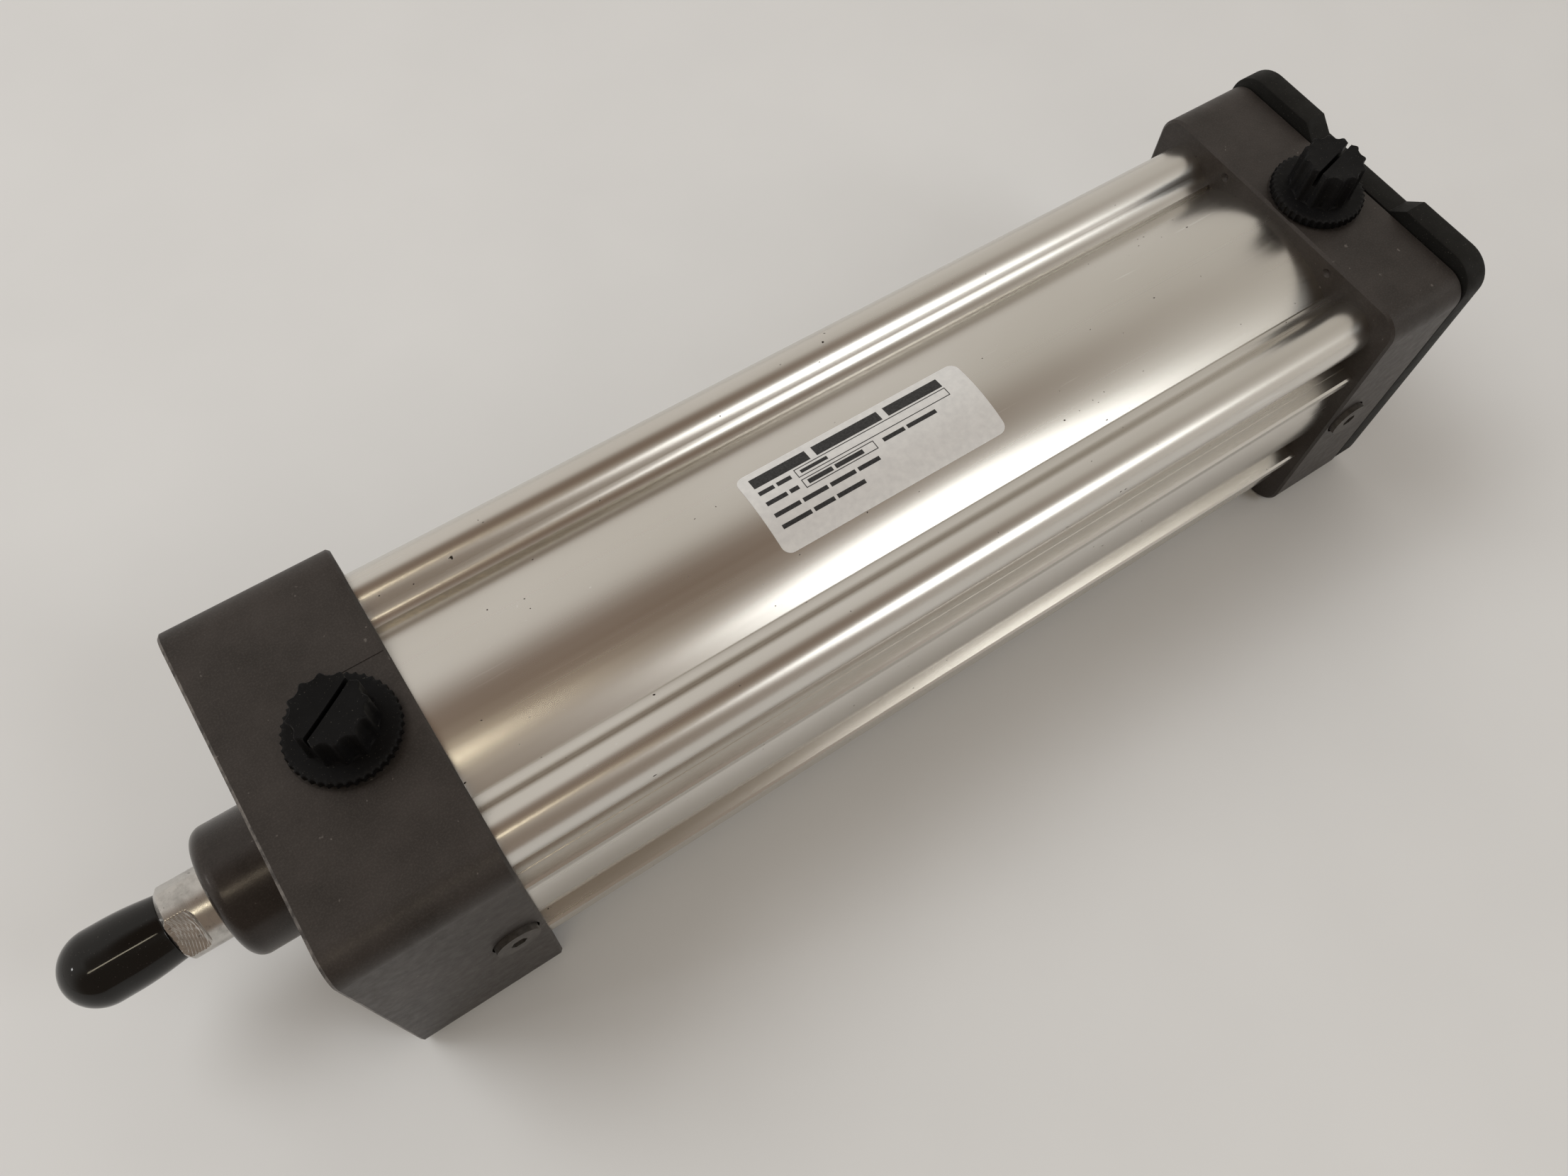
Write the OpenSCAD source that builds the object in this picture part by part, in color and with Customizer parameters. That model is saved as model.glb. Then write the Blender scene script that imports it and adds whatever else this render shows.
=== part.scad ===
// Pneumatic cylinder with a profiled tube and square heads.
// +X runs along the axis from the rod end to the cap end, +Z is the port side.
// The origin is the centre of the front head's mounting face, on the rod axis.

/* [Cylinder] */
// Bore of the tube
bore_d = 63.5; // [63:0.1:64]
// Stroke of the piston rod
stroke = 177.8; // [100:0.1:178]
// Length of the tube between the two heads
tube_len = 215.4; // [215:0.1:230]
// Side of the square heads
head_w = 76.2; // [76:0.1:80]
// Radius of the four long edges of the heads
head_round = 6; // [4:0.1:7]
// Length of the front (rod) head
front_len = 34; // [33.5:0.1:40]
// Length of the rear (cap) head
rear_len = 22.4; // [22.2:0.1:30]
// Chamfer on the end edges of the heads
edge_chamfer = 0.6; // [0.2:0.1:0.8]

/* [Tube profile] */
// Outside radius of the round barrel
barrel_r = 35.2; // [35:0.1:35.8]
// Offset of the four screw lobes from the axis in Y and Z
lobe_pos = 27.8; // [27.5:0.1:28]
// Radius of a screw lobe
lobe_r = 6; // [5.8:0.1:6.2]
// Height of the sensor rails above and below the middle of each side
rail_z = 15; // [13:0.1:15.2]
// Thickness of a sensor rail
rail_t = 3; // [2.6:0.1:3.4]
// How far out from the axis the sensor rails reach
rail_reach = 35.85; // [35.6:0.05:36.4]

// How far out from the axis the small step at a rail's root reaches
rail_root = 32.8; // [32.4:0.1:33.4]

/* [Rod] */
// Rod diameter
rod_d = 15.875; // [15.8:0.005:16]
// Distance from the mounting face to the rod shoulder, rod in
rod_out = 25.9; // [24:0.1:32]
// Diameter of the male rod thread
thread_d = 11.1; // [10:0.1:11.2]
// Length of the male rod thread
thread_len = 17.5; // [15:0.1:17.6]
// Distance across the wrench flats
flats_w = 12.7; // [12:0.1:13]
// Length of the wrench flats
flats_len = 5.9; // [5:0.1:7]
// Angle of the wrench flats from the port side
flats_angle = 49; // [0:1:90]
// Largest diameter of the vinyl thread cap
cap_d = 15.6; // [15:0.1:16]
// Length of the vinyl thread cap
cap_len = 21.9; // [21.8:0.1:28]

/* [Pilot boss] */
// Diameter of the pilot boss
boss_d = 28.575; // [28:0.005:29]
// Length of the pilot boss
boss_len = 16; // [14:0.1:18]
// Radius of the rounded boss rim
boss_round = 3; // [1:0.1:3.5]

/* [Ports] */
// Diameter of the port thread
port_d = 17.1; // [17:0.1:17.3]
// Centre of the front port from the mounting face
front_port_x = 21; // [20.5:0.1:22]
// Centre of the rear port from the tube end of the rear head
rear_port_x = 10.8; // [10.8:0.1:11.2]
// Diameter of the port plug flange
flange_d = 21.2; // [20:0.1:21.3]
// Diameter of the raised plug head
plug_head_d = 14.4; // [13:0.1:15]
// Height of the port plug above its seat
plug_h = 11.65; // [8:0.05:12.5]

/* [Foot holes] */
// Diameter of the tapped foot holes under the heads
foot_hole_d = 9.52; // [8:0.01:9.6]
// Distance between the foot holes across the cylinder
foot_hole_y = 33.34; // [32:0.01:34]
// Depth of the foot holes
foot_hole_h = 12.7; // [8:0.1:14]

/* [Rear plate] */
// Thickness of the rear plate
plate_t = 6.35; // [5:0.05:8]
// How far the plate's ears stand above the head
ear_h = 3; // [2:0.1:4]
// Half width of the notch between the ears
notch_half = 12.5; // [10:0.1:14]

/* [Hidden] */
$fn = 96;
half = head_w / 2;
tube_x0 = front_len;
tube_x1 = front_len + tube_len;
rear_x1 = tube_x1 + rear_len;
// register of each head inside the tube
spigot_len = 5.8;
spigot_d = bore_d - 0.2;
oring_groove_w = 3.4;
oring_groove_d = spigot_d - 5.4;
oring_section = 2.6;
// cushion cavities, their seals and the parts that enter them
cavity_d = 22;
cushion_d = 20;
cushion_len = 18;
cushion_seal_d = 27;
cushion_seal_w = 3.2;
// gland inside the front head
gland_depth = 12;
gland_d = boss_d - 0.6;
bushing_d = 20;
rod_bore_d = rod_d + 0.1;
// head screws
screw_d = 7.94;
screw_hole_d = 8.6;
screw_head_d = 11.9;
screw_head_h = 7.9;
counterbore_d = 13.5;
counterbore_h = 8.6;
screw_grip = 18;
channel_d = 8.04;
// screws of the rear plate
plate_screw_pos = 16.5;
plate_screw_d = 6.35;
plate_screw_len = 17;
// ports and cushion screws
spotface = 0.15;
spotface_d = 21.5;
port_depth = 13;
needle_x = 27.9;
rear_needle_x = tube_x1 + 6.2;
needle_head_d = 9.4;
needle_pocket_d = 10.2;
needle_pocket_h = 3;
needle_proud = 1.3;
needle_d = 5;
needle_tip_y = -13;
// piston, drawn with the rod all the way in
piston_len = 25.4;
piston_gap = 0.35;
piston_x1 = tube_x1 - spigot_len - piston_gap;
piston_x0 = piston_x1 - piston_len;
piston_d = bore_d - 0.2;
land = 1.8;
seal_w = 4.2;
seal_groove_d = 54;
band_w = 5.4;
band_groove_d = 59.5;
magnet_w = 3;
magnet_groove_d = 52;
stud_d = 12.7;
// label on the barrel crown
label_x0 = 107.7;
label_len = 55.4;
label_t = 0.15;
label_half_angle = 16;
label_centre_angle = 1.9;

module along_x(x0, x1) {
    translate([x0, 0, 0]) rotate([90, 0, 90]) linear_extrude(height = x1 - x0) children();
}
module rod_x(x0, x1, d, y = 0, z = 0) {
    translate([x0, y, z]) rotate([0, 90, 0]) cylinder(h = x1 - x0, d = d);
}
module ring_x(x0, x1, d_out, d_in) {
    difference() {
        rod_x(x0, x1, d_out);
        rod_x(x0 - 1, x1 + 1, d_in);
    }
}
module at_corners(p) {
    for (sy = [-1, 1], sz = [-1, 1]) translate([0, sy * p, sz * p]) children();
}
module rounded_square() {
    flat = half - head_round;
    square([head_w, 2 * flat], center = true);
    square([2 * flat, head_w], center = true);
    for (sy = [-1, 1], sz = [-1, 1]) translate([sy * flat, sz * flat]) circle(r = head_round);
}
// square block with rounded long edges; the end edges are chamfered, round the corners too
module head_block(x0, x1) {
    cut = edge_chamfer * sqrt(2);
    flat = half - head_round;
    difference() {
        along_x(x0, x1) rounded_square();
        for (x = [x0, x1], a = [0, 90, 180, 270]) rotate([a, 0, 0])
            translate([x, 0, half]) rotate([0, 45, 0]) cube([cut, head_w + 2, cut], center = true);
        for (turn = [0, 180], a = [0, 90, 180, 270]) translate([turn == 0 ? x0 : x1, 0, 0]) rotate([0, turn, 0]) rotate([a, 0, 0])
            translate([0, flat, flat]) corner_cut();
    }
}
// takes a cone-shaped chamfer off one rounded corner at x = 0
module corner_cut() difference() {
    translate([-1, 0, 0]) cube([1 + edge_chamfer, head_round + 1, head_round + 1]);
    translate([-1, 0, 0]) rotate([0, 90, 0]) cylinder(h = 1 + edge_chamfer, r1 = head_round - edge_chamfer - 1, r2 = head_round);
}
// spigot of a head with its O-ring groove; face is the head side, end the free end
module spigot(x0, x1) {
    mid = (x0 + x1) / 2;
    difference() {
        rod_x(x0, x1, spigot_d);
        ring_x(mid - oring_groove_w / 2, mid + oring_groove_w / 2, spigot_d + 2, oring_groove_d);
    }
}
// threaded port, drilled on into the cushion cavity, with its milled seat
module port_cut(x) {
    translate([x, 0, half - spotface]) cylinder(h = 2, d = spotface_d);
    translate([x, 0, half - spotface - port_depth]) cylinder(h = port_depth + 1, d = port_d);
    translate([x, 0, 0]) cylinder(h = half - spotface - port_depth + 0.5, d = 14);
}
// stepped hole for a cushion screw, from the near side into the cavity
module needle_cut(x) {
    translate([x, -half - 1, 0]) rotate([-90, 0, 0]) cylinder(h = needle_pocket_h + 1, d = needle_pocket_d);
    translate([x, -half, 0]) rotate([-90, 0, 0]) cylinder(h = half - 6, d = needle_d + 0.16);
}
// two tapped foot holes in the underside of a head
module foot_cut(x) {
    for (s = [-1, 1]) translate([x, s * foot_hole_y / 2, -half - 1]) cylinder(h = foot_hole_h + 1, d = foot_hole_d);
}
module seal_seat(x0) {
    rod_x(x0, x0 + cushion_seal_w, cushion_seal_d);
}

module front_head() color("dimgray") difference() {
    union() {
        head_block(0, front_len);
        spigot(front_len - 0.01, front_len + spigot_len);
    }
    // gland bore, cushion cavity and the seat of the cushion seal
    rod_x(-1, 0.6, boss_d + 0.1);
    rod_x(-1, gland_depth, gland_d + 0.1);
    rod_x(gland_depth - 1, front_len + spigot_len + 1, cavity_d);
    seal_seat(front_len + spigot_len - cushion_seal_w - 0.8);
    // screw holes with counterbores in the mounting face
    at_corners(lobe_pos) {
        rod_x(-1, front_len + 1, screw_hole_d);
        rod_x(-1, counterbore_h, counterbore_d);
    }
    port_cut(front_port_x);
    // the milled seat runs out to the tube side
    translate([front_port_x, -spotface_d / 2, half - spotface]) cube([front_len, spotface_d, 2]);
    needle_cut(needle_x);
    foot_cut(front_len / 2);
}

module rear_head() color("dimgray") difference() {
    union() {
        head_block(tube_x1, rear_x1);
        spigot(tube_x1 - spigot_len, tube_x1 + 0.01);
    }
    rod_x(tube_x1 - spigot_len - 1, rear_x1 - 6, cavity_d);
    seal_seat(tube_x1 - spigot_len + 0.8);
    at_corners(lobe_pos) {
        rod_x(tube_x1 - 1, rear_x1 + 1, screw_hole_d);
        rod_x(rear_x1 - counterbore_h, rear_x1 + 1, counterbore_d);
    }
    // tapped holes for the rear plate
    at_corners(plate_screw_pos) rod_x(rear_x1 - 12, rear_x1 + 1, plate_screw_d + 0.1);
    port_cut(tube_x1 + rear_port_x);
    needle_cut(rear_needle_x);
    foot_cut(tube_x1 + 10);
    // two small dimples beside the barrel crown
    for (s = [-1, 1]) translate([tube_x1 - 0.01, s * 16.8, 34.9]) rotate([0, 90, 0]) cylinder(h = 0.6, d1 = 2.2, d2 = 0.6);
}

// web from the barrel out to a lobe, with a small step off the barrel and a hollow on each side
module web_profile() difference() {
    polygon([[18, 27.5], [19.9, 28.5], [19.9, 30], [23.11, 31.54], [lobe_pos + 1, lobe_pos + 1],
        [31.54, 23.11], [30, 19.9], [28.5, 19.9], [27.5, 18]]);
    translate([19.9, 34.11]) circle(r = 4.12);
    translate([34.11, 19.9]) circle(r = 4.12);
}

// one sensor rail, with chamfered outer edges and a small step near its root
module rail_profile() {
    top = rail_z + rail_t;
    bevel = 0.5;
    polygon([[28, rail_z], [rail_reach - bevel, rail_z], [rail_reach, rail_z + bevel], [rail_reach, top - bevel],
        [rail_reach - bevel, top], [rail_root, top], [rail_root, top + 0.3], [28, top + 0.3]]);
}

module profile_tube() color("silver") difference() {
    union() {
        rod_x(tube_x0, tube_x1, 2 * barrel_r);
        for (a = [0, 90, 180, 270]) rotate([a, 0, 0]) {
            along_x(tube_x0, tube_x1) web_profile();
            rod_x(tube_x0, tube_x1, 2 * lobe_r, lobe_pos, lobe_pos);
        }
        // sensor rails on both sides
        for (a = [0, 180]) rotate([a, 0, 0]) {
            along_x(tube_x0, tube_x1) rail_profile();
            along_x(tube_x0, tube_x1) mirror([1, 0]) rail_profile();
        }
    }
    rod_x(tube_x0 - 1, tube_x1 + 1, bore_d);
    at_corners(lobe_pos) rod_x(tube_x0 - 1, tube_x1 + 1, channel_d);
}

module rod_gland() color("dimgray") difference() {
    rotate([0, 90, 0]) rotate_extrude() union() {
        translate([0, boss_round - boss_len]) square([boss_d / 2, boss_len - boss_round]);
        translate([0, -1]) square([gland_d / 2, gland_depth + 1]);
        translate([0, -boss_len]) square([boss_d / 2 - boss_round, boss_round + 1]);
        translate([boss_d / 2 - boss_round, boss_round - boss_len]) circle(r = boss_round);
    }
    rod_x(-boss_len - 1, gland_depth + 1, rod_d + 1);
    rod_x(-boss_len - 1, -boss_len + 4.2, 21);
    rod_x(-9, gland_depth + 1, bushing_d + 0.1);
    rod_x(gland_depth - 4, gland_depth + 1, 24.1);
}
module rod_bushing() color("goldenrod") ring_x(-9, gland_depth - 4.1, bushing_d, rod_bore_d);
module rod_seal() color("black") difference() {
    ring_x(gland_depth - 3.9, gland_depth, 24, rod_bore_d);
    // U-shaped lip groove on the pressure side
    ring_x(gland_depth - 1.6, gland_depth + 1, 21.4, 18.6);
}
module rod_wiper() color("black") difference() {
    ring_x(-boss_len + 0.3, -boss_len + 4.1, 20.9, rod_bore_d);
    ring_x(-boss_len - 1, -boss_len + 1.3, 22, 18.2);
}
module head_o_rings() color("black") {
    for (x = [front_len + spigot_len / 2, tube_x1 - spigot_len / 2]) translate([x, 0, 0]) rotate([0, 90, 0])
        rotate_extrude() translate([oring_groove_d / 2 + oring_section / 2 + 0.03, 0]) circle(d = oring_section, $fn = 24);
}
module cushion_seals() color("darkgreen") {
    x0 = front_len + spigot_len - cushion_seal_w - 0.8;
    x1 = tube_x1 - spigot_len + 0.8;
    for (x = [x0, x1]) ring_x(x + 0.1, x + cushion_seal_w - 0.1, cushion_seal_d - 0.1, cushion_d + 0.16);
}
// socket-head cap screw, head at x = 0, shank along +X
module cap_screw(shank) {
    difference() {
        union() {
            rod_x(0, screw_head_h, screw_head_d);
            rod_x(screw_head_h - 0.01, screw_head_h + shank, screw_d);
        }
        translate([-1, 0, 0]) rotate([0, 90, 0]) cylinder(h = 5, d = 7.33, $fn = 6);
    }
}
module front_head_screws() color("gray") at_corners(lobe_pos)
    translate([counterbore_h - screw_head_h, 0, 0])
        cap_screw(front_len - counterbore_h + screw_grip);
module rear_head_screws() color("gray") at_corners(lobe_pos)
    translate([rear_x1 - counterbore_h + screw_head_h, 0, 0]) mirror([1, 0, 0])
        cap_screw(rear_len - counterbore_h + screw_grip);

module plate_profile() {
    top = half + ear_h;
    r = 7.5;
    difference() {
        union() {
            translate([-half, -half + r]) square([head_w, top + half - 2 * r]);
            translate([-half + r, -half]) square([head_w - 2 * r, top + half]);
            for (s = [-1, 1]) {
                translate([s * (half - r), top - r]) circle(r = r);
                translate([s * (half - r), -half + r]) circle(r = r);
            }
        }
        // notch between the two ears, flush with the head
        polygon([[-notch_half - 1.2 * ear_h, top + 0.01], [-notch_half, half], [notch_half, half], [notch_half + 1.2 * ear_h, top + 0.01]]);
    }
}
module rear_plate() color("black") difference() {
    along_x(rear_x1, rear_x1 + plate_t) plate_profile();
    at_corners(plate_screw_pos) {
        rod_x(rear_x1 - 1, rear_x1 + plate_t + 1, plate_screw_d + 0.4);
        translate([rear_x1 + plate_t - 3.6, 0, 0]) rotate([0, 90, 0]) cylinder(h = 3.61, d1 = plate_screw_d, d2 = 13.6);
    }
}
module rear_plate_screws() color("gray") at_corners(plate_screw_pos) {
    x = rear_x1 + plate_t - 0.3;
    difference() {
        union() {
            rod_x(x - plate_screw_len, x - 2, plate_screw_d);
            translate([x - 3.1, 0, 0]) rotate([0, 90, 0]) cylinder(h = 3.1, d1 = plate_screw_d, d2 = 12.2);
        }
        translate([x - 2.4, 0, 0]) rotate([0, 90, 0]) cylinder(h = 3, d = 4.6, $fn = 6);
    }
}
module rating_label() color("white") rotate([label_centre_angle, 0, 0]) difference() {
    rod_x(label_x0, label_x0 + label_len, 2 * (barrel_r + label_t));
    rod_x(label_x0 - 1, label_x0 + label_len + 1, 2 * barrel_r);
    // keep only the strip over the crown
    for (s = [-1, 1]) rotate([s * label_half_angle, 0, 0]) translate([label_x0 - 1, s < 0 ? 0 : -2 * barrel_r, -2 * barrel_r])
        cube([label_len + 2, 2 * barrel_r, 4 * barrel_r]);
}

// x positions of the grooves from the front face of the piston
seal_x = [piston_x0 + land, piston_x1 - land - seal_w];
band_x = piston_x0 + 2 * land + seal_w;
magnet_x = band_x + band_w + 1.4;
module piston() color("lightsteelblue") difference() {
    rod_x(piston_x0, piston_x1, piston_d);
    for (x = seal_x) ring_x(x, x + seal_w, piston_d + 2, seal_groove_d);
    ring_x(band_x, band_x + band_w, piston_d + 2, band_groove_d);
    ring_x(magnet_x, magnet_x + magnet_w, piston_d + 2, magnet_groove_d);
    rod_x(piston_x0 - 1, piston_x1 + 1, stud_d + 0.1);
}
module piston_seals() color("black") {
    for (x = seal_x) difference() {
        ring_x(x + 0.15, x + seal_w - 0.15, bore_d - 0.12, seal_groove_d + 0.12);
        side = x < band_x ? x - 1 : x + seal_w - 1.6;
        ring_x(side, side + 2.6, 60.6, 57.2);
    }
}
module piston_wear_band() color("peru")
    ring_x(band_x + 0.1, band_x + band_w - 0.1, bore_d - 0.12, band_groove_d + 0.12);
module piston_magnet() color("darkred")
    ring_x(magnet_x + 0.05, magnet_x + magnet_w - 0.05, piston_d - 1.2, magnet_groove_d + 0.1);
module piston_rod() color("gainsboro") difference() {
    union() {
        rod_x(-rod_out + 0.8, piston_x0, rod_d);
        translate([-rod_out, 0, 0]) rotate([0, 90, 0]) cylinder(h = 0.81, d1 = rod_d - 1.6, d2 = rod_d);
        rod_x(-rod_out - thread_len + 1, -rod_out + 0.01, thread_d);
        translate([-rod_out - thread_len, 0, 0]) rotate([0, 90, 0]) cylinder(h = 1.01, d1 = thread_d - 2, d2 = thread_d);
        rod_x(piston_x0 - 0.01, piston_x1 + cushion_len - 3, stud_d);
    }
    // two wrench flats beside the shoulder
    rotate([flats_angle, 0, 0]) for (s = [-1, 1])
        translate([-rod_out - 0.01, -10, s > 0 ? flats_w / 2 : -flats_w / 2 - 5]) cube([flats_len, 20, 5]);
}
module front_cushion_sleeve() color("silver")
    ring_x(piston_x0 - cushion_len, piston_x0, cushion_d, rod_d + 0.1);
module rear_cushion_spear() color("silver") difference() {
    union() {
        rod_x(piston_x1, piston_x1 + cushion_len - 2, cushion_d);
        translate([piston_x1 + cushion_len - 2.01, 0, 0]) rotate([0, 90, 0]) cylinder(h = 2.01, d1 = cushion_d, d2 = cushion_d - 2);
    }
    rod_x(piston_x1 - 1, piston_x1 + cushion_len - 2.9, stud_d + 0.1);
}
module rod_thread_cap() color("black") difference() {
    x0 = -rod_out;
    end = cap_len - cap_d / 2;
    union() {
        // mouth a little narrower than the domed end
        translate([x0 - 6, 0, 0]) rotate([0, 90, 0]) cylinder(h = 6, d1 = cap_d - 0.5, d2 = 13.9);
        translate([x0 - end, 0, 0]) rotate([0, 90, 0]) cylinder(h = end - 5.99, d1 = cap_d, d2 = cap_d - 0.5);
        translate([x0 - end, 0, 0]) sphere(d = cap_d);
        // drip left by dipping
        translate([x0 - cap_len + 1.5, -2, -2]) sphere(d = 2.6);
    }
    rod_x(x0 - thread_len - 0.6, x0 + 1, thread_d + 0.14);
}

// screw-in plastic plug, seat at z = 0, slot turned by turn degrees
module port_plug(turn) color("black") difference() {
    union() {
        cylinder(h = 2.15, d = flange_d);
        translate([0, 0, 2.15]) cylinder(h = 0.8, d1 = flange_d, d2 = flange_d - 2);
        translate([0, 0, 1]) cylinder(h = plug_h - 1, d = plug_head_d);
        translate([0, 0, 1.2 - port_depth]) cylinder(h = port_depth, d = port_d - 0.16);
    }
    // flutes round the head
    for (i = [0:11]) rotate(turn + i * 30 + 15) translate([plug_head_d / 2 + 0.8, 0, 3.45]) cylinder(h = plug_h, r = 1.7, $fn = 32);
    rotate(turn) translate([0, 0, plug_h]) cube([plug_head_d + 4, 1.3, 7], center = true);
    translate([0, 0, -port_depth]) cylinder(h = port_depth, d = port_d - 4);
}
module front_port_plug() translate([front_port_x, 0, half - spotface]) port_plug(31);
module rear_port_plug() translate([tube_x1 + rear_port_x, 0, half - spotface]) port_plug(14);

module cushion_screw(x) color("dimgray") translate([x, -half - needle_proud, 0]) rotate([-90, 0, 0]) difference() {
    union() {
        cylinder(h = needle_proud + needle_pocket_h - 0.2, d = needle_head_d);
        cylinder(h = half + needle_proud + needle_tip_y - 3, d = needle_d);
        translate([0, 0, half + needle_proud + needle_tip_y - 3.01]) cylinder(h = 3, d1 = needle_d, d2 = 1.5);
    }
    translate([0, 0, -1]) cylinder(h = 3.2, d = 3.6, $fn = 6);
}
module front_cushion_screw() cushion_screw(needle_x);
module rear_cushion_screw() cushion_screw(rear_needle_x);

front_head();
rear_head();
profile_tube();
rod_gland();
rod_bushing();
rod_seal();
rod_wiper();
head_o_rings();
cushion_seals();
front_head_screws();
rear_head_screws();
rear_plate();
rear_plate_screws();
rating_label();
piston_seals();
piston_wear_band();
piston();
piston_magnet();
piston_rod();
front_cushion_sleeve();
rear_cushion_spear();
rod_thread_cap();
front_port_plug();
rear_port_plug();
front_cushion_screw();
rear_cushion_screw();
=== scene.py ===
"""Pneumatic cylinder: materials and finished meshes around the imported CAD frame.

The frame's +X runs from the rod end to the cap end, +Z is the port side and
-Y the side of the cushion screws. Lengths are in metres unless a name ends in _MM.
"""
import math

import bmesh
import bpy
from mathutils import Matrix, Vector


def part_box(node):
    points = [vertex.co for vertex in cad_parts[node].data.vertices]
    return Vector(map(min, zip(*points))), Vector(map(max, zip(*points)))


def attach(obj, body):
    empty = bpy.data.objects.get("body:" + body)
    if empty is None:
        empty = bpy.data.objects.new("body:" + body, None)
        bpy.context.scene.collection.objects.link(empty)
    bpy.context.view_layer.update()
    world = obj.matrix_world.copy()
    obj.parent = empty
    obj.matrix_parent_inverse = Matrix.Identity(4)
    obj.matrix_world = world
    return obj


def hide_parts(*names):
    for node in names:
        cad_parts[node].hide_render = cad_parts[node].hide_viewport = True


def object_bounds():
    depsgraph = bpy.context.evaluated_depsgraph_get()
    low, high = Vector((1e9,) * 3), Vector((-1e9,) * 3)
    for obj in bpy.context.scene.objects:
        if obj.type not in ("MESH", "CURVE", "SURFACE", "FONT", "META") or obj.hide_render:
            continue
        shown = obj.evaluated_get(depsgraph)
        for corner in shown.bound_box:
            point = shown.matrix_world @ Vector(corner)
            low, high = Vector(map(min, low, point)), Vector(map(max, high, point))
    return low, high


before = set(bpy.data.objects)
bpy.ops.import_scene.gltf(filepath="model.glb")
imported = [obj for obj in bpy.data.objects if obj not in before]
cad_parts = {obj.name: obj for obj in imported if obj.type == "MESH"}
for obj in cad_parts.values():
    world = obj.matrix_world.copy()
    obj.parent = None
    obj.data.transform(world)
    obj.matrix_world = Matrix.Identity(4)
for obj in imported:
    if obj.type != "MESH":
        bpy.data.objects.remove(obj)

cad_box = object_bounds()
MM = 0.001


# ---------------------------------------------------------------- camera

CAMERA_AT = Vector((0.0364, -0.1011, 0.2495))
CAMERA_AIM = Vector((0.1138, -0.0031, 0.0))
CAMERA_ROLL = math.radians(5.12)
CAMERA_LENS_MM = 28.72


def add_camera():
    data = bpy.data.cameras.new("camera")
    data.lens = CAMERA_LENS_MM
    data.sensor_width = 36.0
    data.clip_start = 0.005
    cam = bpy.data.objects.new("camera", data)
    bpy.context.scene.collection.objects.link(cam)
    look = (CAMERA_AIM - CAMERA_AT).to_track_quat("-Z", "Y").to_matrix().to_4x4()
    cam.matrix_world = Matrix.Translation(CAMERA_AT) @ look @ Matrix.Rotation(CAMERA_ROLL, 4, "Z")
    bpy.context.scene.camera = cam
    bpy.context.scene.view_settings.view_transform = "Standard"


# ---------------------------------------------------------------- materials

class Nodes:
    """A material's node tree with short calls for the nodes used here."""

    def __init__(self, name):
        self.material = bpy.data.materials.new(name)
        self.material.use_nodes = True
        self.tree = self.material.node_tree
        self.shader = self.tree.nodes["Principled BSDF"]
        self.place = self.tree.nodes.new("ShaderNodeTexCoord").outputs["Object"]

    def add(self, kind, **inputs):
        node = self.tree.nodes.new(kind)
        for key, value in inputs.items():
            self.put(node.inputs[key.replace("_", " ")], value)
        return node

    def put(self, socket, value):
        if isinstance(value, bpy.types.NodeSocket):
            self.tree.links.new(value, socket)
        else:
            socket.default_value = value

    def stretch(self, x=1.0, y=1.0, z=1.0):
        node = self.add("ShaderNodeMapping", Vector=self.place)
        node.inputs["Scale"].default_value = (x, y, z)
        return node.outputs["Vector"]

    def noise(self, scale, detail=4.0, rough=0.55, vector=None):
        return self.add("ShaderNodeTexNoise", Vector=vector or self.place, Scale=scale, Detail=detail, Roughness=rough).outputs["Fac"]

    def ramp(self, fac, *stops):
        """Colour ramp; each stop is (position, value or colour)."""
        node = self.add("ShaderNodeValToRGB", Fac=fac)
        band = node.color_ramp.elements
        while len(band) < len(stops):
            band.new(0.5)
        for element, (at, value) in zip(band, stops):
            element.position = at
            element.color = (value, value, value, 1) if isinstance(value, (int, float)) else (*value, 1)
        return node.outputs["Color"]

    def math(self, kind, a, b=0.0, clamp=False):
        node = self.tree.nodes.new("ShaderNodeMath")
        node.operation = kind
        node.use_clamp = clamp
        self.put(node.inputs[0], a)
        self.put(node.inputs[1], b)
        return node.outputs[0]

    def mix(self, fac, a, b):
        node = self.tree.nodes.new("ShaderNodeMix")
        node.data_type = "RGBA"
        self.put(node.inputs[0], fac)
        self.put(node.inputs[6], a if isinstance(a, bpy.types.NodeSocket) else (*a, 1))
        self.put(node.inputs[7], b if isinstance(b, bpy.types.NodeSocket) else (*b, 1))
        return node.outputs[2]

    def bump(self, height, depth, strength=1.0):
        node = self.add("ShaderNodeBump", Height=height, Distance=depth, Strength=strength)
        self.put(self.shader.inputs["Normal"], node.outputs["Normal"])

    def surface(self, **inputs):
        for key, value in inputs.items():
            socket = self.shader.inputs[key.replace("_", " ")]
            if isinstance(value, tuple) and len(value) == 3:
                value = (*value, 1)
            self.put(socket, value)
        return self.material


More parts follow.
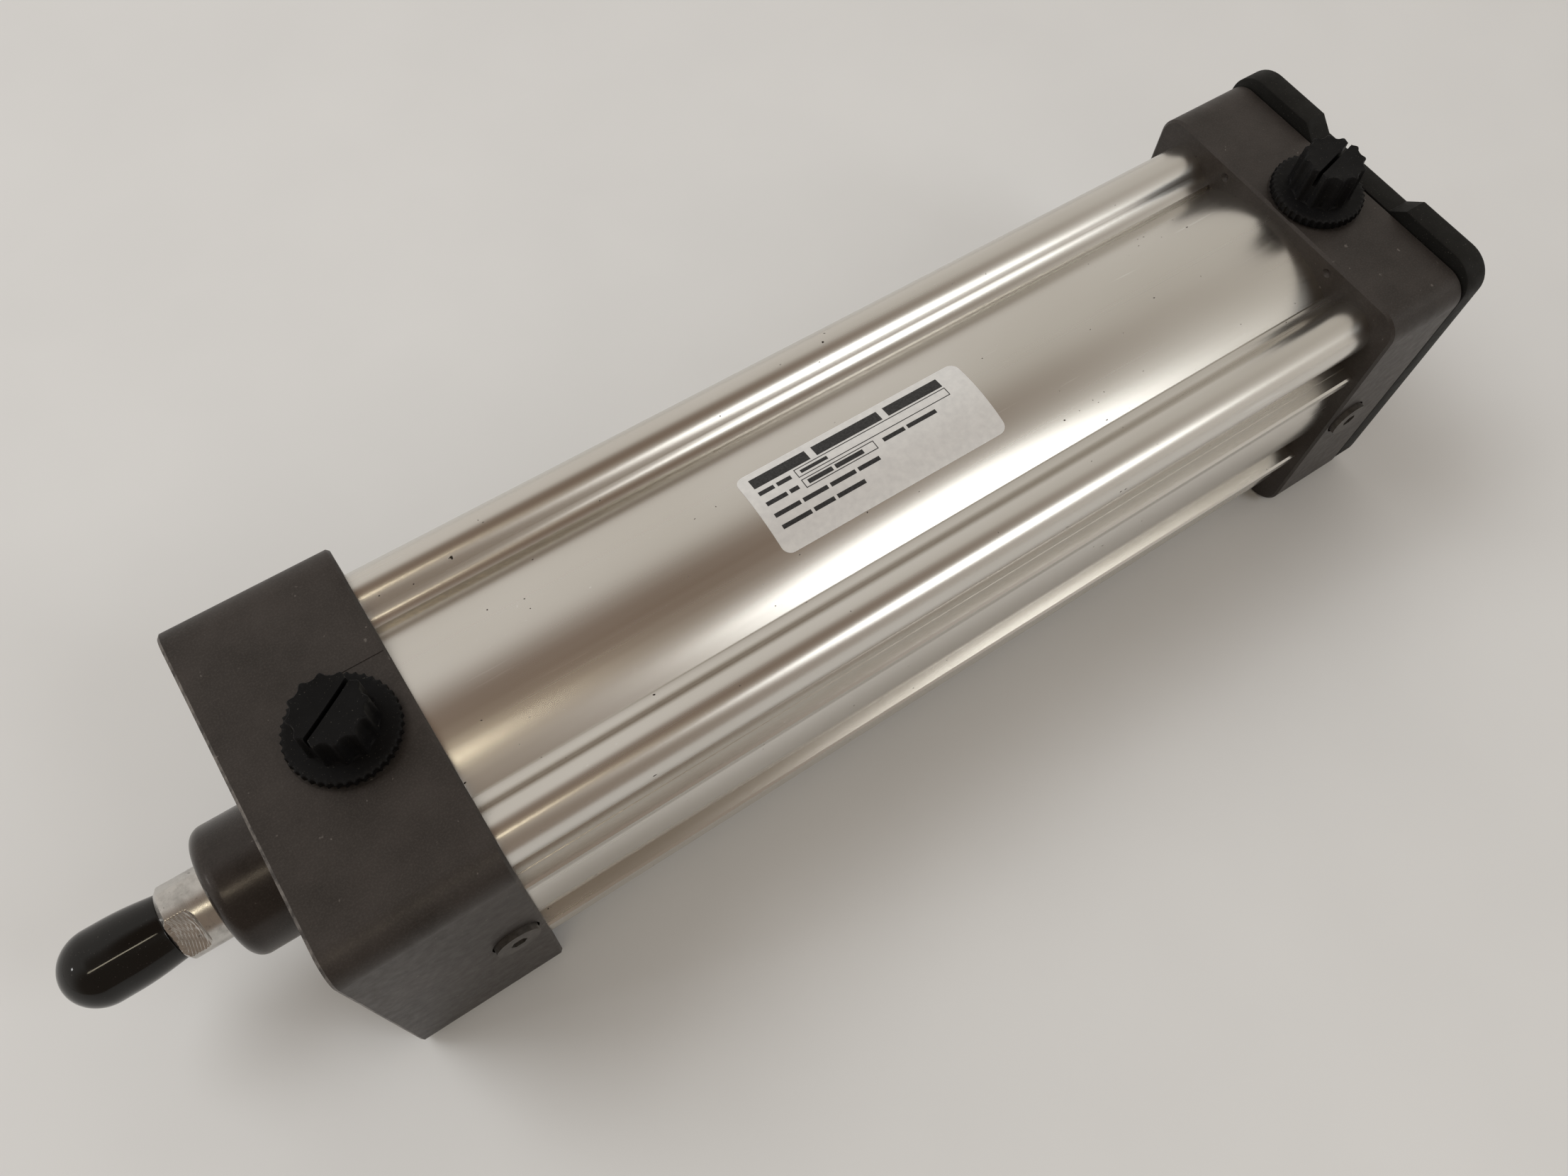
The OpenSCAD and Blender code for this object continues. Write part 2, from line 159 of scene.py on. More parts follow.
def hard_anodised(name="hard_anodised", wear=0.25, shine=(0.40, 0.52), metallic=0.25):
    """Dark grey-brown hard anodised aluminium, blotchy, worn bright along the edges that face the rod end."""
    n = Nodes(name)
    blotch = n.ramp(n.noise(75, 5, 0.62), (0.33, (0.027, 0.0225, 0.020)), (0.67, (0.044, 0.037, 0.0335)))
    grain = n.noise(2600, 3, 0.6)
    colour = n.mix(n.ramp(grain, (0.45, 0.0), (0.78, 0.30)), blotch, (0.095, 0.083, 0.075))
    rub = n.ramp(n.noise(160, 6, 0.72, n.stretch(x=0.5)), (0.64, 0.0), (0.80, 0.35))
    colour = n.mix(rub, colour, (0.085, 0.080, 0.077))
    # the 45 degree chamfers facing the rod end are the faces with a normal x near -0.7
    normal = n.add("ShaderNodeSeparateXYZ", Vector=n.add("ShaderNodeNewGeometry").outputs["True Normal"]).outputs["X"]
    tilt = n.math("ABSOLUTE", n.math("ADD", normal, 0.7071))
    edge = n.math("SUBTRACT", 1.0, n.math("MULTIPLY", tilt, 12.0), clamp=True)
    worn = n.math("MULTIPLY", edge, n.ramp(n.noise(330, 6, 0.75), (0.40, 0.0), (0.62, wear)), clamp=True)
    colour = n.mix(worn, colour, (0.62, 0.57, 0.52))
    nick = n.ramp(n.noise(620, 2, 0.5), (0.735, 0.0), (0.77, 1.0))
    colour = n.mix(n.math("MULTIPLY", nick, 0.45), colour, (0.20, 0.18, 0.165))
    n.bump(n.math("ADD", grain, nick), 0.00002, 0.5)
    rough = n.ramp(n.noise(420, 4, 0.6), (0.3, shine[0]), (0.7, shine[1]))
    return n.surface(Base_Color=colour, Roughness=rough, Metallic=metallic, Specular_IOR_Level=0.42)


def clear_anodised():
    """Satin extruded aluminium: faint die lines along X, a few scratches, specks of dirt and dust."""
    n = Nodes("clear_anodised")
    lines = n.noise(700, 3, 0.5, n.stretch(x=0.01))
    fine = n.noise(9000, 2, 0.5)
    cloud = n.noise(30, 3, 0.5, n.stretch(x=0.5))
    scratch = n.ramp(n.noise(110, 3, 0.5, n.stretch(x=0.22, y=7.0, z=3.0)), (0.71, 0.0), (0.735, 1.0))
    colour = n.mix(n.ramp(cloud, (0.35, 0.0), (0.7, 1.0)), (0.70, 0.675, 0.63), (0.755, 0.735, 0.70))
    colour = n.mix(n.math("MULTIPLY", scratch, 0.35), colour, (0.90, 0.89, 0.87))
    dust = n.ramp(n.noise(1500, 2, 0.5), (0.73, 0.0), (0.77, 1.0))
    colour = n.mix(n.math("MULTIPLY", dust, 0.35), colour, (0.93, 0.92, 0.90))
    dirt = n.ramp(n.noise(1050, 1, 0.4, n.stretch(x=0.8)), (0.80, 0.0), (0.815, 1.0))
    colour = n.mix(dirt, colour, (0.06, 0.05, 0.04))
    n.bump(fine, 0.0000006, 0.5)
    rough = n.math("ADD", n.ramp(lines, (0.3, 0.25), (0.7, 0.275)), n.math("MULTIPLY", dirt, 0.4))
    return n.surface(Base_Color=colour, Roughness=rough, Metallic=1.0)


# stains start this far along the rod at rest, and reach full strength over 1 / EXPOSED_FADE metres
EXPOSED_END_X = -0.010
EXPOSED_FADE = 300.0


def turned_steel(name, tint=(0.60, 0.585, 0.56), low=0.16, high=0.32):
    """Steel turned about X, with fine rings, and with pits and light stains only on the end left out in the open."""
    n = Nodes(name)
    along = n.add("ShaderNodeSeparateXYZ", Vector=n.place).outputs["X"]
    exposed = n.math("MULTIPLY", n.math("SUBTRACT", EXPOSED_END_X, along), EXPOSED_FADE, clamp=True)
    rings = n.noise(5200, 2, 0.5, n.stretch(y=0.03, z=0.03))
    stain = n.math("MULTIPLY", n.noise(260, 4, 0.6), exposed)
    pits = n.math("MULTIPLY", n.ramp(n.noise(900, 3, 0.6), (0.66, 0.0), (0.72, 1.0)), exposed)
    dark = tuple(v * 0.62 for v in tint)
    colour = n.mix(n.ramp(stain, (0.45, 0.0), (0.75, 1.0)), tint, dark)
    colour = n.mix(n.math("MULTIPLY", pits, 0.6), colour, (0.10, 0.085, 0.07))
    n.bump(n.math("SUBTRACT", rings, pits), 0.00001, 0.5)
    rough = n.ramp(stain, (0.3, low), (0.7, high))
    return n.surface(Base_Color=colour, Roughness=rough, Metallic=1.0)


def black_oxide():
    n = Nodes("black_oxide")
    colour = n.ramp(n.noise(900, 4, 0.6), (0.35, (0.028, 0.028, 0.030)), (0.7, (0.060, 0.058, 0.058)))
    n.bump(n.noise(3000, 2), 0.00001, 0.5)
    return n.surface(Base_Color=colour, Roughness=0.38, Metallic=0.8)


def dull_black(name, colour, rough, depth, specular=0.2):
    """Matte black plastic or paint with a fine grain and pale dust."""
    n = Nodes(name)
    grain = n.noise(2400, 4, 0.65)
    dust = n.ramp(n.noise(3000, 2, 0.5), (0.68, 0.0), (0.74, 1.0))
    base = n.mix(n.ramp(n.noise(160, 4, 0.6), (0.3, 0.0), (0.7, 1.0)), colour, tuple(v * 1.7 for v in colour))
    base = n.mix(n.math("MULTIPLY", dust, 0.16), base, (0.26, 0.24, 0.21))
    n.bump(grain, depth, 0.7)
    shine = n.ramp(n.noise(420, 3), (0.3, rough - 0.06), (0.7, rough + 0.06))
    return n.surface(Base_Color=base, Roughness=shine, Metallic=0.0, Specular_IOR_Level=specular)


def vinyl():
    """Glossy black dipped vinyl with a few specks of dust."""
    n = Nodes("vinyl")
    dust = n.ramp(n.noise(2600, 2, 0.5), (0.70, 0.0), (0.74, 1.0))
    colour = n.mix(n.math("MULTIPLY", dust, 0.22), (0.005, 0.0045, 0.004), (0.22, 0.20, 0.18))
    n.bump(n.noise(240, 2, 0.4), 0.00003, 0.35)
    rough = n.ramp(n.noise(500, 3, 0.5), (0.4, 0.05), (0.75, 0.11))
    return n.surface(Base_Color=colour, Roughness=rough, Metallic=0.0, Specular_IOR_Level=0.36)


def label_film():
    n = Nodes("label_film")
    colour = n.ramp(n.noise(700, 3, 0.5), (0.3, (0.70, 0.70, 0.70)), (0.7, (0.78, 0.78, 0.775)))
    n.bump(n.noise(2500, 2), 0.000004, 0.4)
    return n.surface(Base_Color=colour, Roughness=0.34, Metallic=0.35)


def ink():
    n = Nodes("ink")
    colour = n.ramp(n.noise(2500, 2), (0.4, (0.012, 0.012, 0.013)), (0.7, (0.035, 0.035, 0.037)))
    return n.surface(Base_Color=colour, Roughness=0.45, Metallic=0.0)


def plain(name, dark, light, rough, metallic, scale=900):
    """Machined or moulded inner part with a two-tone grain."""
    n = Nodes(name)
    colour = n.ramp(n.noise(scale, 3, 0.6), (0.35, dark), (0.65, light))
    n.bump(n.noise(scale * 3, 2), 0.00001, 0.5)
    return n.surface(Base_Color=colour, Roughness=rough, Metallic=metallic)


def table_top():
    n = Nodes("table_top")
    colour = n.ramp(n.noise(14, 3, 0.5), (0.3, (0.70, 0.705, 0.71)), (0.7, (0.73, 0.735, 0.74)))
    return n.surface(Base_Color=colour, Roughness=0.55, Metallic=0.0)


# ---------------------------------------------------------------- mesh helpers

def piece(name, mesh, material, node, body, smooth_angle=35.0):
    """Links a finished mesh as a piece that stands for a CAD node and rides on its body."""
    obj = bpy.data.objects.new(name, mesh)
    bpy.context.scene.collection.objects.link(obj)
    mesh.materials.clear()
    for m in (material if isinstance(material, (list, tuple)) else [material]):
        mesh.materials.append(m)
    mesh.shade_smooth()
    mesh.set_sharp_from_angle(angle=math.radians(smooth_angle))
    if node:
        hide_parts(node)
    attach(obj, body)
    return obj


def from_rings(name, rings, closed_ends=True, place=None, second=()):
    """Mesh through rings of points, each closed round the axis; bands listed in second take the second material."""
    bm = bmesh.new()
    rows = [[bm.verts.new(p) for p in ring] for ring in rings]
    count = len(rows[0])
    for band, (low, high) in enumerate(zip(rows, rows[1:])):
        for i in range(count):
            j = (i + 1) % count
            bm.faces.new((low[i], low[j], high[j], high[i])).material_index = int(band in second)
    if closed_ends:
        bm.faces.new(rows[0][::-1])
        bm.faces.new(rows[-1])
    bmesh.ops.recalc_face_normals(bm, faces=bm.faces)
    if place:
        bm.transform(place)
    mesh = bpy.data.meshes.new(name)
    bm.to_mesh(mesh)
    bm.free()
    return mesh


def turned(name, profile, count=128, radius=None):
    """Mesh turned about X from (x, r) points; radius(x, r, angle) may change a point's radius."""
    rings = []
    for x, r in profile:
        ring = []
        for i in range(count):
            a = 2 * math.pi * i / count
            rr = radius(x, r, a) if radius else r
            ring.append((x, -rr * math.sin(a), rr * math.cos(a)))
        rings.append(ring)
    return from_rings(name, rings)


def cut(mesh, cutter):
    """mesh minus cutter, both in the row frame."""
    a = bpy.data.objects.new("cut_a", mesh)
    b = bpy.data.objects.new("cut_b", cutter)
    for o in (a, b):
        bpy.context.scene.collection.objects.link(o)
    mod = a.modifiers.new("cut", "BOOLEAN")
    mod.object = b
    mod.operation = "DIFFERENCE"
    mod.solver = "EXACT"
    graph = bpy.context.evaluated_depsgraph_get()
    done = bpy.data.meshes.new_from_object(a.evaluated_get(graph))
    for o in (a, b):
        bpy.data.objects.remove(o)
    return done


def arc(cx, cr, radius, start, end, steps):
    """Points on an arc in the plane of its two coordinates, angles in degrees from the first towards the second."""
    return [(cx + radius * math.cos(math.radians(start + (end - start) * k / steps)),
             cr + radius * math.sin(math.radians(start + (end - start) * k / steps))) for k in range(steps + 1)]


def between(a, b, steps):
    return [a + (b - a) * k / steps for k in range(steps + 1)]


# ---------------------------------------------------------------- piston rod

FLAT_ANGLE = math.radians(49)
FLAT_HALF = 6.35 * MM
FLAT_LENGTH = 5.9 * MM
FLAT_RUNOUT = 1.8 * MM
MILL_PITCH = 0.55 * MM
MILL_DEPTH = 0.09 * MM
THREAD_PITCH = 1.27 * MM
THREAD_DEPTH = 0.72 * MM


def make_rod(steel, flat_with_painted_shade):
    low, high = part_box("piston_rod")
    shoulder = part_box("rod_thread_cap")[1].x
    rod_r = (high.z - low.z) / 2
    stud_x0, stud_x1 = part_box("piston")[0].x, high.x
    stud_r = 6.35 * MM
    thread_r = 5.55 * MM
    root_r = thread_r - THREAD_DEPTH

    def radius(x, r, a):
        if x < shoulder - 0.6 * MM:
            # helical thread, fading out at both ends
            turn = (x / THREAD_PITCH + a / (2 * math.pi)) % 1.0
            ridge = abs(2 * turn - 1)
            fade = min(1.0, max(0.0, (x - low.x) / (1.6 * MM)))
            return min(r, root_r + (thread_r - root_r) * ridge * fade) if r > root_r else r
        if shoulder - 0.1 * MM <= x <= shoulder + FLAT_LENGTH + 0.1 * MM:
            # two opposite flats with curved cutter marks and a rounded run-out
            run = max(0.0, x - (shoulder + FLAT_LENGTH - FLAT_RUNOUT))
            lift = FLAT_RUNOUT - math.sqrt(max(0.0, FLAT_RUNOUT ** 2 - min(run, FLAT_RUNOUT) ** 2))
            along = math.cos(a - FLAT_ANGLE)
            across = r * math.sin(a - FLAT_ANGLE)
            reach = math.hypot(x - shoulder + 9 * MM, across)
            reach += 0.05 * MM * math.sin(across / (0.35 * MM) + 9 * reach / MM)
            mark = MILL_DEPTH * (1 - abs(2 * ((reach / MILL_PITCH) % 1.0) - 1)) if run < 0.6 * FLAT_RUNOUT else 0.0
            flat = FLAT_HALF + lift - mark
            if abs(along) * r > flat:
                return flat / abs(along)
        return r

    profile = [(low.x, root_r - 0.6 * MM)]
    profile += [(x, thread_r) for x in between(low.x + 0.3 * MM, shoulder - 0.9 * MM, 160)]
    profile += [(shoulder - 0.5 * MM, root_r), (shoulder, root_r), (shoulder, rod_r - 0.8 * MM)]
    profile += [(shoulder + d * MM, rod_r - (0.8 - d) * MM) for d in (0.2, 0.4, 0.6)]
    profile += [(x, rod_r) for x in between(shoulder + 0.8 * MM, shoulder + FLAT_LENGTH, 80)]
    profile += [(x, rod_r) for x in between(shoulder + FLAT_LENGTH + 0.3 * MM, stud_x0 - 0.4 * MM, 24)]
    profile += [(stud_x0, rod_r - 0.4 * MM), (stud_x0, stud_r), (stud_x1 - 0.5 * MM, stud_r), (stud_x1, stud_r - 0.5 * MM)]
    mesh = turned("piston_rod_mesh", profile, 320, radius)
    # faces of the flats take the second material: rod steel whose dark brown tint is painted shade
    for face in mesh.polygons:
        if shoulder < face.center.x < shoulder + FLAT_LENGTH and math.hypot(face.center.y, face.center.z) < rod_r - 0.2 * MM:
            face.material_index = 1
    return piece("piston_rod_turned", mesh, [steel, flat_with_painted_shade], "piston_rod", "rod", 28)


# ---------------------------------------------------------------- vinyl cap

def make_thread_cap(material):
    low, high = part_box("rod_thread_cap")
    mouth, tip = high.x, low.x
    outer = (high.z - low.z) / 2
    tip_x = tip + 0.25 * MM
    mouth_r = 6.9 * MM
    bore_r = 5.62 * MM
    bore_x = mouth - 18.1 * MM
    bore_round = 1.2 * MM
    profile = [(bore_x, 0.01 * MM), (bore_x, bore_r - bore_round)]
    profile += arc(bore_x + bore_round, bore_r - bore_round, bore_round, 180, 90, 6)
    profile += [(x, bore_r) for x in between(bore_x + 2 * MM, mouth - 0.5 * MM, 10)]
    profile += [(mouth - 0.12 * MM, bore_r + 0.12 * MM), (mouth, bore_r + 0.5 * MM), (mouth, mouth_r - 0.35 * MM),
                (mouth - 0.12 * MM, mouth_r - 0.1 * MM), (mouth - 0.4 * MM, mouth_r)]
    # the wall swells from the mouth to the full width, then closes in a dome
    for k in range(1, 15):
        t = k / 14
        x = mouth - 0.4 * MM - t * (mouth - tip_x - outer - 0.4 * MM)
        swell = math.sin(min(1.0, t * 1.35) * math.pi / 2)
        profile.append((x, mouth_r + (outer - mouth_r) * swell))
    profile += arc(tip_x + outer, 0, outer, 90, 178.5, 26)[1:]

    drip = Vector((tip + 0.9 * MM, -2.6 * MM, -2.2 * MM))

    def radius(x, r, a):
        # a small drip hangs off one side of the dome
        if r < 0.02 * MM or x > tip_x + outer:
            return r
        p = Vector((x, -r * math.sin(a), r * math.cos(a)))
        near = (p - drip).length / (1.5 * MM)
        return r + 0.9 * MM * math.exp(-near * near)

    mesh = turned("thread_cap_mesh", profile, 160, radius)
    return piece("thread_cap", mesh, material, "rod_thread_cap", "thread_cap", 50)


# ---------------------------------------------------------------- port plugs

FLANGE_TEETH = 42
HEAD_FLUTES = 12
SEAT_DEPTH = 0.15 * MM
SLOT_WIDTH = 0.85 * MM
SLOT_LENGTH = 18 * MM
SLOT_DEPTH = 4 * MM


def make_plug(node, body, slot_angle, materials):
    low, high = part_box(node)
    centre = (low + high) / 2
    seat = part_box("front_head")[1].z - SEAT_DEPTH
    flange = (high.x - low.x) / 2
    top = high.z - seat
    stem = 8.4 * MM
    stem_bottom = low.z - seat
    count = 504

    def ring(z, base, bite=0.0, waves=0, phase=0.0):
        """Circle at height z, or with waves: cusps standing out at base and hollows bite deep between them."""
        points = []
        for i in range(count):
            a = 2 * math.pi * i / count
            hollow = math.sin(waves * (a - phase) / 2) ** 2 if waves else 0.0
            r = base - bite * (1 - (1 - hollow) ** 2) if waves else base
            points.append((r * math.cos(a), r * math.sin(a), z))
        return points

    def tooth(z, base, bite):
        return ring(z, base, bite, FLANGE_TEETH)

    def flute(z, base, bite):
        return ring(z, base, bite, HEAD_FLUTES, slot_angle + math.radians(15))

    rings, worn = [ring(stem_bottom, 5.6 * MM), ring(stem_bottom, 7.6 * MM)], set()
    # pipe thread drawn as rings
    z = stem_bottom + 0.5 * MM
    while z < -2.0 * MM:
        rings += [ring(z, stem - 0.85 * MM), ring(z + 0.65 * MM, stem)]
        z += 1.41 * MM
    rings += [ring(-1.4 * MM, stem - 0.8 * MM), ring(0.0, stem - 0.8 * MM)]
    rings += [ring(0.0, flange - 1.0 * MM), tooth(0.5 * MM, flange - 0.25 * MM, 0.35 * MM), tooth(0.9 * MM, flange, 0.42 * MM),
              tooth(2.5 * MM, flange, 0.42 * MM)]
    worn.add(len(rings) - 1)
    rings += [tooth(2.7 * MM, flange - 0.22 * MM, 0.36 * MM)]
    rings += [tooth(2.81 * MM, flange - 0.7 * MM, 0.15 * MM), ring(2.85 * MM, flange - 1.3 * MM), ring(2.85 * MM, 8.0 * MM)]
    rings += [flute(2.9 * MM, 7.35 * MM, 0.62 * MM), flute(3.25 * MM, 7.2 * MM, 0.72 * MM)]
    rings += [flute(3.25 * MM + (top - 3.5 * MM) * t, (7.2 - 0.22 * t) * MM, 0.78 * MM) for t in (0.25, 0.5, 0.75, 1.0)]
    worn.add(len(rings) - 1)
    rings += [flute(top - 0.08 * MM, 6.86 * MM, 0.76 * MM), flute(top, 6.7 * MM, 0.7 * MM),
              flute(top - 0.06 * MM, 5.6 * MM, 0.4 * MM), ring(top - 0.16 * MM, 4.0 * MM),
              ring(top - 0.2 * MM, 2.0 * MM), ring(top - 0.2 * MM, 0.4 * MM)]
    place = Matrix.Translation((centre.x, centre.y, seat))
    body_mesh = from_rings(node + "_mesh", rings, place=place, second=worn)
    # screwdriver slot right across the head
    bm = bmesh.new()
    bmesh.ops.create_cube(bm, size=1.0)
    box = Matrix.Diagonal((SLOT_LENGTH, SLOT_WIDTH, 2 * SLOT_DEPTH, 1))
    bm.transform(place @ Matrix.Rotation(slot_angle, 4, "Z") @ Matrix.Translation((0, 0, top)) @ box)
    slot_mesh = bpy.data.meshes.new("slot")
    bm.to_mesh(slot_mesh)
    bm.free()
    return piece(node + "_moulded", cut(body_mesh, slot_mesh), materials, node, body, 32)


# ---------------------------------------------------------------- rear plate

def make_rear_plate(material):
    low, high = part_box("rear_plate")
    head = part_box("rear_head")
    top, bottom, side = high.z, low.z, high.y
    notch = 12.5 * MM
    ear = top - head[1].z
    r = 7.5 * MM
    outline = []
    for cy, cz, start in ((side - r, bottom + r, -90), (side - r, top - r, 0)):
        outline += arc(cy, cz, r, start, start + 90, 12)
    outline += [(notch + 1.2 * ear, top), (notch, head[1].z)]
    outline += [(-y, z) for y, z in reversed(outline)]
    bm = bmesh.new()
    face = bm.faces.new([bm.verts.new((low.x, y, z)) for y, z in outline])
    grown = bmesh.ops.extrude_face_region(bm, geom=[face])
    moved = [v for v in grown["geom"] if isinstance(v, bmesh.types.BMVert)]
    bmesh.ops.translate(bm, verts=moved, vec=(high.x - low.x, 0, 0))
    bmesh.ops.recalc_face_normals(bm, faces=bm.faces)
    rim = [e for e in bm.edges if all(abs(v.co.x - high.x) < 1e-7 for v in e.verts)]
    bmesh.ops.bevel(bm, geom=rim, offset=0.9 * MM, segments=4, profile=0.5, affect="EDGES")
    front = [e for e in bm.edges if all(abs(v.co.x - low.x) < 1e-7 for v in e.verts)]
    bmesh.ops.bevel(bm, geom=front, offset=0.35 * MM, segments=2, profile=0.5, affect="EDGES")
    mesh = bpy.data.meshes.new("rear_plate_mesh")
    bm.to_mesh(mesh)
    bm.free()
    screw_at, screw_r, sink_r, sink_depth = 16.5 * MM, 3.375 * MM, 7.0 * MM, 3.6 * MM
    for sy in (-1, 1):
        for sz in (-1, 1):
            hole = [(low.x - MM, screw_r), (high.x - sink_depth, screw_r), (high.x + 0.2 * MM, sink_r), (high.x + MM, sink_r)]
            cutter = turned("countersink", hole, 64)
            cutter.transform(Matrix.Translation((0, sy * screw_at, sz * screw_at)))
            mesh = cut(mesh, cutter)
    return piece("rear_plate_bevelled", mesh, material, "rear_plate", "barrel", 30)


# ---------------------------------------------------------------- label

LABEL_CORNER = 2.0 * MM


def on_crown(u, v, lift, label):
    """Point on the barrel crown: u along X from the label's end, v across it, lift off the barrel."""
    angle = label["angle"] + v / label["radius"]
    r = label["radius"] + lift
    return (label["x0"] + u, r * math.sin(angle), r * math.cos(angle))


def bent_patch(bm, label, u0, u1, v0, v1, low, high, index=0, corner=0.0):
    """Closed thin slab on the crown, from u0 to u1 and v0 to v1, with optional round corners."""
    steps = max(2, int((v1 - v0) / (0.5 * MM)))
    rows = sorted(set([v0 + (v1 - v0) * k / steps for k in range(steps + 1)]
                      + ([v0 + corner * (1 - math.cos(math.pi / 2 * k / 6)) for k in range(7)] if corner else [])
                      + ([v1 - corner * (1 - math.cos(math.pi / 2 * k / 6)) for k in range(7)] if corner else [])))
    across = max(1, int((u1 - u0) / (4 * MM)))
    sheets = []
    for lift in (low, high):
        sheet = []
        for v in rows:
            inset = 0.0
            if corner:
                depth = max(0.0, corner - min(v - v0, v1 - v))
                inset = corner - math.sqrt(max(0.0, corner ** 2 - depth ** 2))
            sheet.append([bm.verts.new(on_crown(u, v, lift, label)) for u in between(u0 + inset, u1 - inset, across)])
        sheets.append(sheet)
    base, top = sheets
    faces = []
    for k in range(len(rows) - 1):
        for j in range(across):
            faces.append(bm.faces.new((top[k][j], top[k][j + 1], top[k + 1][j + 1], top[k + 1][j])))
            faces.append(bm.faces.new((base[k][j], base[k + 1][j], base[k + 1][j + 1], base[k][j + 1])))
        faces.append(bm.faces.new((base[k][0], top[k][0], top[k + 1][0], base[k + 1][0])))
        faces.append(bm.faces.new((base[k][-1], base[k + 1][-1], top[k + 1][-1], top[k][-1])))
    for j in range(across):
        faces.append(bm.faces.new((base[0][j], base[0][j + 1], top[0][j + 1], top[0][j])))
        faces.append(bm.faces.new((base[-1][j], top[-1][j], top[-1][j + 1], base[-1][j + 1])))
    for f in faces:
        f.material_index = index


def make_label(film, black):
    low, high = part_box("rating_label")
    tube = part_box("profile_tube")
    radius = (tube[1].z - tube[0].z) / 2
    thick = 0.15 * MM
    near = math.asin(low.y / (radius + thick))
    far = math.asin(high.y / (radius + thick))
    label = {"x0": low.x, "radius": radius, "angle": near}
    length, width = high.x - low.x, (far - near) * radius
    bm = bmesh.new()
    bent_patch(bm, label, 0, length, 0, width, 0.0, thick * 0.8, corner=LABEL_CORNER)
    bmesh.ops.recalc_face_normals(bm, faces=bm.faces)
    mesh = bpy.data.meshes.new("label_mesh")
    bm.to_mesh(mesh)
    bm.free()
    piece("label_film", mesh, film, "rating_label", "barrel", 40)

    bm = bmesh.new()
    ground, proud = thick * 0.7, thick

    def bar(u0, u1, v, height):
        bent_patch(bm, label, u0 * MM, u1 * MM, (v - height / 2) * MM, (v + height / 2) * MM, ground, proud)

    def frame_box(u0, u1, v0, v1, line=0.18):
        bar(u0, u1, v0, line)
        bar(u0, u1, v1, line)
        for u in (u0, u1):
            bar(u - line / 2, u + line / 2, (v0 + v1) / 2, v1 - v0 + line)

    def blocks(v, height, *ends):
        for u0, u1 in ends:
            bar(u0, u1, v, height)

    # heading of three blocks, two ruled boxes with caption blocks, two plain lines of blocks
    blocks(16.8, 2.5, (2.5, 16.0), (17.6, 34.0), (35.6, 49.5))
    frame_box(11.5, 49.5, 13.0, 15.0)
    blocks(14.0, 0.95, (2.5, 6.1), (6.8, 10.2))
    blocks(14.0, 0.8, (12.5, 19.0))
    frame_box(11.5, 29.0, 10.2, 12.2)
    blocks(11.2, 0.95, (2.5, 7.4), (8.1, 10.2), (31.0, 36.4), (37.1, 44.5))
    blocks(11.2, 1.05, (12.5, 18.4), (19.1, 26.0))
    blocks(8.2, 0.95, (2.5, 8.6), (9.3, 15.2), (15.9, 22.0), (22.7, 28.0))
    blocks(5.4, 0.95, (2.5, 9.4), (10.1, 15.0), (15.7, 22.5))
    bmesh.ops.recalc_face_normals(bm, faces=bm.faces)
    mesh = bpy.data.meshes.new("print_mesh")
    bm.to_mesh(mesh)
    bm.free()
    piece("label_print", mesh, black, None, "barrel", 40)


# ---------------------------------------------------------------- CAD nodes that stay

def dress(node, material, bevel=0.0):
    """Gives a CAD node its material, and small rounded edges where asked."""
    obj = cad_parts[node]
    obj.data.materials.clear()
    obj.data.materials.append(material)
    if bevel:
        mod = obj.modifiers.new("edges", "BEVEL")
        mod.width = bevel
        mod.segments = 2
        mod.limit_method = "ANGLE"
        mod.angle_limit = math.radians(50)
        mod.use_clamp_overlap = True


# ---------------------------------------------------------------- floor and light

def add_stage():
    floor_z = cad_box[0][2]
    bm = bmesh.new()
    bmesh.ops.create_grid(bm, x_segments=8, y_segments=8, size=3.0)
    mesh = bpy.data.meshes.new("table")
    bm.transform(Matrix.Translation((0.1, 0.0, floor_z)))
    bm.to_mesh(mesh)
    bm.free()
    mesh.materials.append(table_top())
    obj = bpy.data.objects.new("table", mesh)
    bpy.context.scene.collection.objects.link(obj)


def area_light(name, at, aim, width, height, watts, colour=(1, 1, 1)):
    data = bpy.data.lights.new(name, "AREA")
    data.shape = "RECTANGLE"
    data.size, data.size_y = width, height
    data.energy = watts
    data.color = colour
    obj = bpy.data.objects.new(name, data)
    obj.matrix_world = Matrix.Translation(at) @ (Vector(aim) - Vector(at)).to_track_quat("-Z", "Y").to_matrix().to_4x4()
    bpy.context.scene.collection.objects.link(obj)
    return obj


WALL = (0.68, 0.645, 0.60)
SIDE_WALL = (0.55, 0.52, 0.47)
CORNER = (0.24, 0.19, 0.15)
CEILING = (0.18, 0.125, 0.09)


